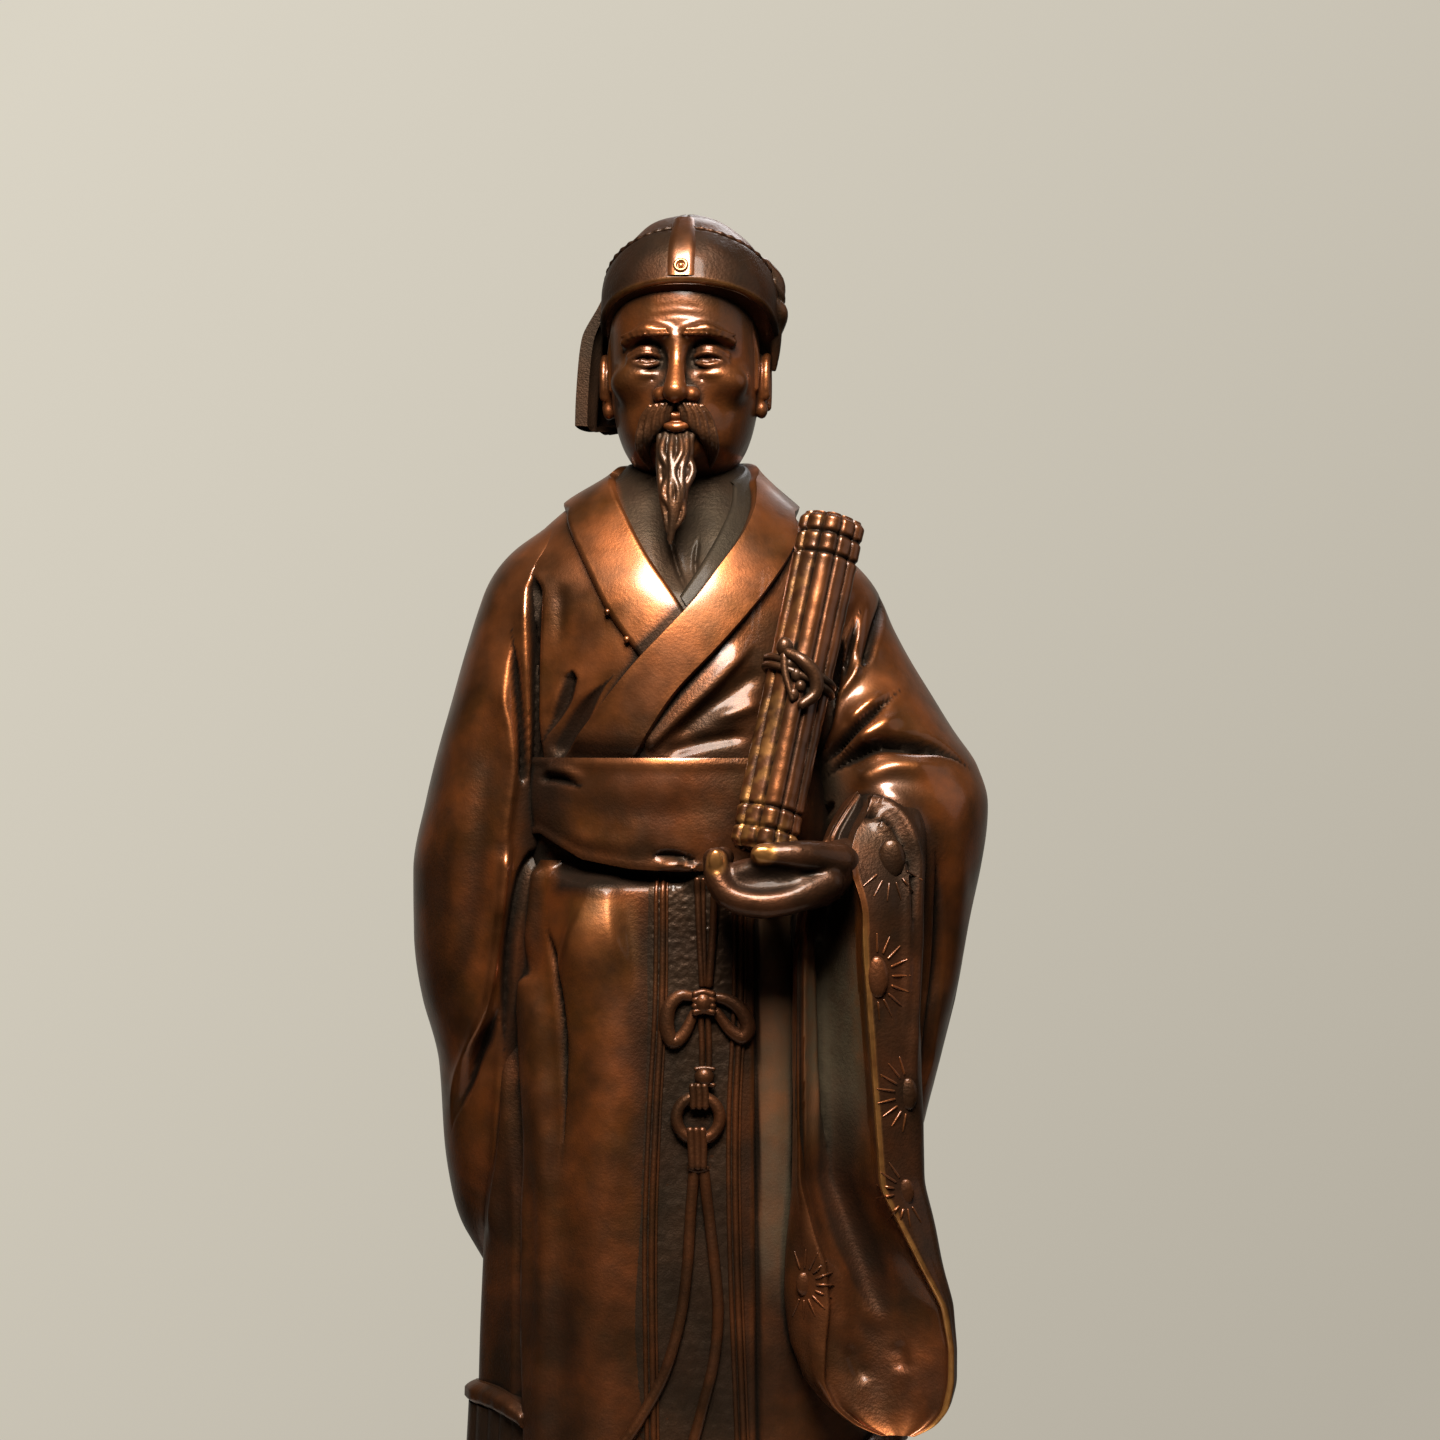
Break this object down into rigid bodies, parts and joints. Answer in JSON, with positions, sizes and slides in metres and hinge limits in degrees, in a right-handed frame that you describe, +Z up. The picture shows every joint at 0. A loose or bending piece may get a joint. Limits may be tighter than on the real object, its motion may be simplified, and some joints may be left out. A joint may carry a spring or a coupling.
{
  "type": "robed scholar figurine",
  "caption": "Standing cast bronze figurine of a bearded scholar in a soft cap and crossed robe, who leans a rolled bamboo book on one arm; shelf or desk ornament.",
  "frame": {"origin": "on the floor, under the middle of the figure's box", "axes": "+Z up, the figure faces -Y, +X is on the viewer's right (the figure's left)"},
  "size_m": [0.1196, 0.086, 0.3],
  "materials": {
    "bronze_patina": "polished red-brown bronze patina",
    "bronze_dark": "near-black bronze patina, tooled or stippled",
    "bronze_worn": "bronze rubbed back to gold-brown on its high spots"
  },
  "bodies": {
    "root": {"skirt": "bronze_patina", "upper_robe": "bronze_patina", "sash": "bronze_patina", "right_collar": "bronze_patina", "left_collar": "bronze_patina", "inner_collar": "bronze_dark", "right_sleeve": "bronze_patina", "left_sleeve": "bronze_patina", "left_cuff": "bronze_patina", "left_hand": "bronze_worn", "bamboo_book": "bronze_worn", "book_tie": "bronze_dark", "head": "bronze_patina", "right_moustache": "bronze_dark", "left_moustache": "bronze_dark", "chin_tuft": "bronze_dark", "cap_crown": "bronze_patina", "cap_panel": "bronze_patina", "cap_strap": "bronze_worn", "cap_stud": "bronze_worn", "cap_flap": "bronze_dark", "cap_knot": "bronze_dark", "apron_panel": "bronze_dark", "right_apron_border": "bronze_patina", "left_apron_border": "bronze_patina", "right_belt_cord": "bronze_patina", "left_belt_cord": "bronze_patina", "bow_knot": "bronze_patina", "right_bow_loop": "bronze_patina", "left_bow_loop": "bronze_patina", "pendant_strap": "bronze_patina", "cord_bead": "bronze_patina", "upper_ring_hitch": "bronze_patina", "girdle_ring": "bronze_patina", "lower_ring_hitch": "bronze_patina", "right_tassel_cord": "bronze_patina", "left_tassel_cord": "bronze_patina", "right_tassel": "bronze_patina", "left_tassel": "bronze_patina", "right_side_pleats": "bronze_dark", "right_pleat_band": "bronze_patina", "left_side_pleats": "bronze_dark", "left_pleat_band": "bronze_patina", "right_shoe": "bronze_dark", "left_shoe": "bronze_dark"}
  },
  "joints": []
}
